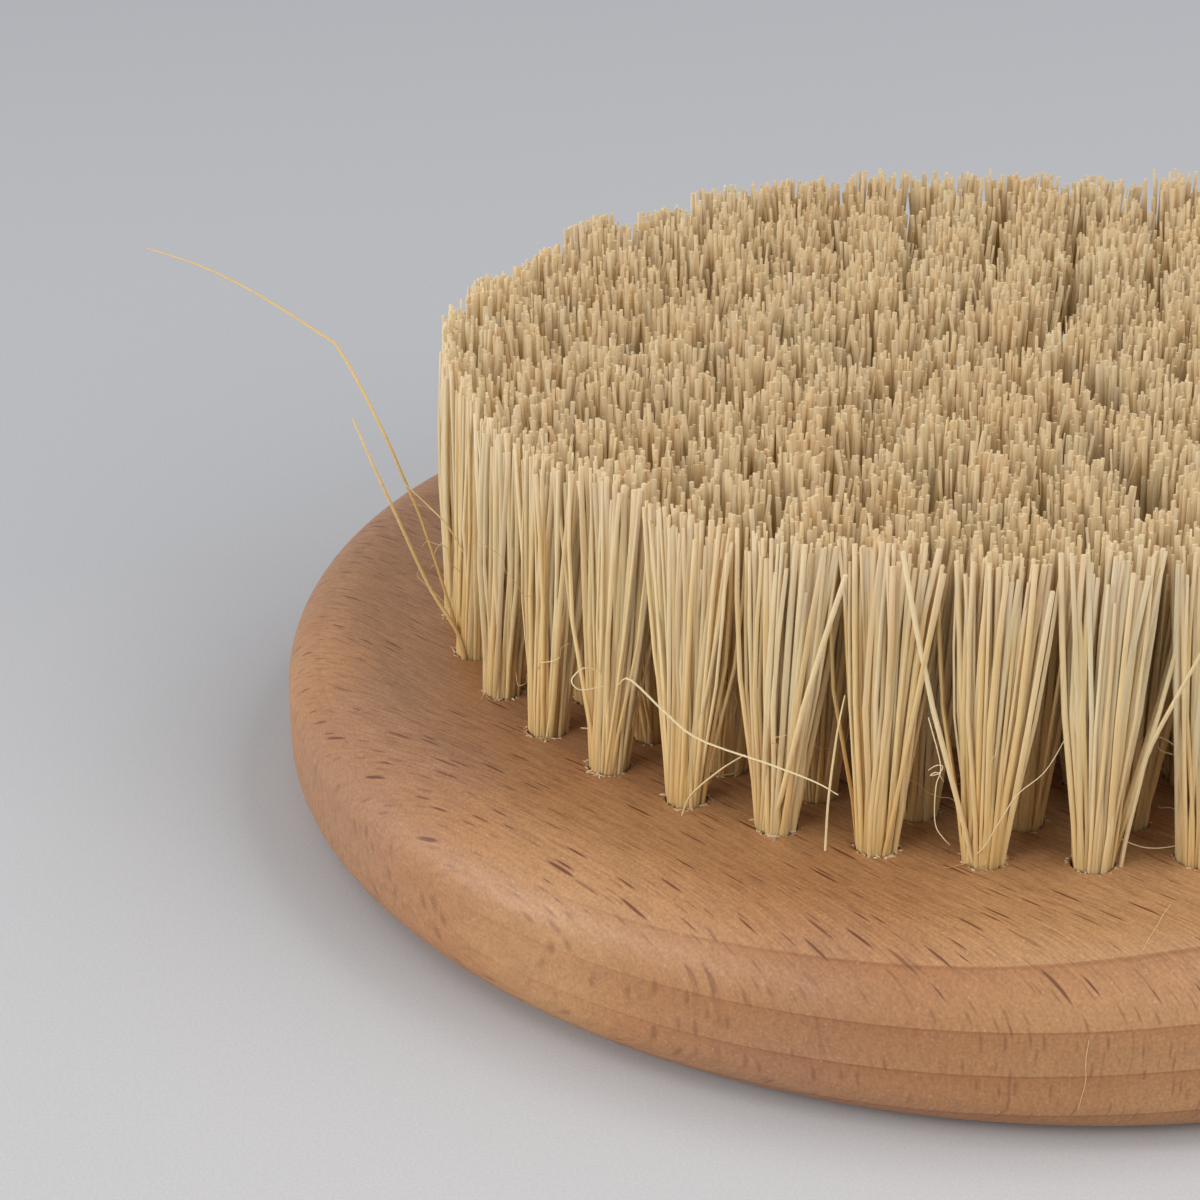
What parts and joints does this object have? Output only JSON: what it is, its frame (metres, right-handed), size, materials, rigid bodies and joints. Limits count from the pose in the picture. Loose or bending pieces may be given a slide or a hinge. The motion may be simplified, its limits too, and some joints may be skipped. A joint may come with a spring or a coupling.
{
  "type": "bath brush",
  "caption": "Round palm-sized bath brush: a turned beech body with soft shoulders, filled with concentric rows of stiff plant-fibre tufts, lying on its back.",
  "frame": {"origin": "centre of the flat underside, which is the middle of the bounding box's bottom", "axes": "+Z from the underside to the tips of the bristles; +X to the right and +Y away in the picture"},
  "size_m": [0.1168, 0.1168, 0.0364],
  "materials": {
    "beech": "turned, sanded and oiled beech, matt with a soft sheen",
    "fibre": "undyed stiff plant fibre, cut level",
    "steel": "flat steel wire of the hidden tuft anchors"
  },
  "bodies": {
    "root": {"brush_body": "beech", "tuft_01": "fibre", "tuft_02": "fibre", "tuft_03": "fibre", "tuft_04": "fibre", "tuft_05": "fibre", "tuft_06": "fibre", "tuft_07": "fibre", "tuft_08": "fibre", "tuft_09": "fibre", "tuft_10": "fibre", "tuft_11": "fibre", "tuft_12": "fibre", "tuft_13": "fibre", "tuft_14": "fibre", "tuft_15": "fibre", "tuft_16": "fibre", "tuft_17": "fibre", "tuft_18": "fibre", "tuft_19": "fibre", "tuft_20": "fibre", "tuft_21": "fibre", "tuft_22": "fibre", "tuft_23": "fibre", "tuft_24": "fibre", "tuft_25": "fibre", "tuft_26": "fibre", "tuft_27": "fibre", "tuft_28": "fibre", "tuft_29": "fibre", "tuft_30": "fibre", "tuft_31": "fibre", "tuft_32": "fibre", "tuft_33": "fibre", "tuft_34": "fibre", "tuft_35": "fibre", "tuft_36": "fibre", "tuft_37": "fibre", "tuft_38": "fibre", "tuft_row_1": "fibre", "tuft_row_2": "fibre", "tuft_row_3": "fibre", "tuft_row_4": "fibre", "tuft_row_5": "fibre", "tuft_row_6": "fibre", "tuft_row_7": "fibre"}
  },
  "joints": []
}
